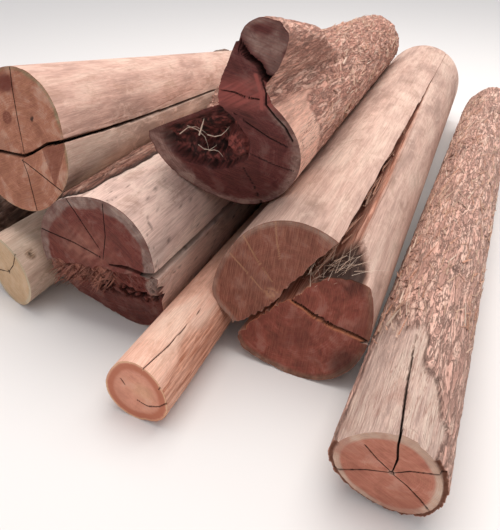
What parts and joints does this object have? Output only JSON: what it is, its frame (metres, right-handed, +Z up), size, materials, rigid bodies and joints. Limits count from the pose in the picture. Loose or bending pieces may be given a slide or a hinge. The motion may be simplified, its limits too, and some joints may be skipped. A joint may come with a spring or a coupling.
{
  "type": "heap of logs",
  "caption": "Heap of felled logs lying side by side on the ground, with a forked log and a large log resting on top.",
  "frame": {"origin": "on the ground under the middle of the heap's bounding box", "axes": "+Y along the logs, away from the sawn near ends; +X to the right seen from those ends; +Z up"},
  "size_m": [2.7222, 3.871, 1.2906],
  "materials": {
    "smooth_pale_wood": "barkless, smooth, weathered pale",
    "stringy_bark": "fibrous reddish bark",
    "fresh_orange_wood": "freshly peeled, orange",
    "grey_weathered_wood": "grey, weathered, cracked",
    "brown_bark": "dark brown bark"
  },
  "bodies": {
    "root": {"split_log": "smooth_pale_wood", "bark_log": "stringy_bark", "small_orange_log": "fresh_orange_wood", "cracked_log": "grey_weathered_wood", "loose_bark_slab": "stringy_bark", "pale_corner_log": "smooth_pale_wood", "brown_back_log": "brown_bark", "forked_log": "stringy_bark", "pale_top_log": "smooth_pale_wood"}
  },
  "joints": []
}
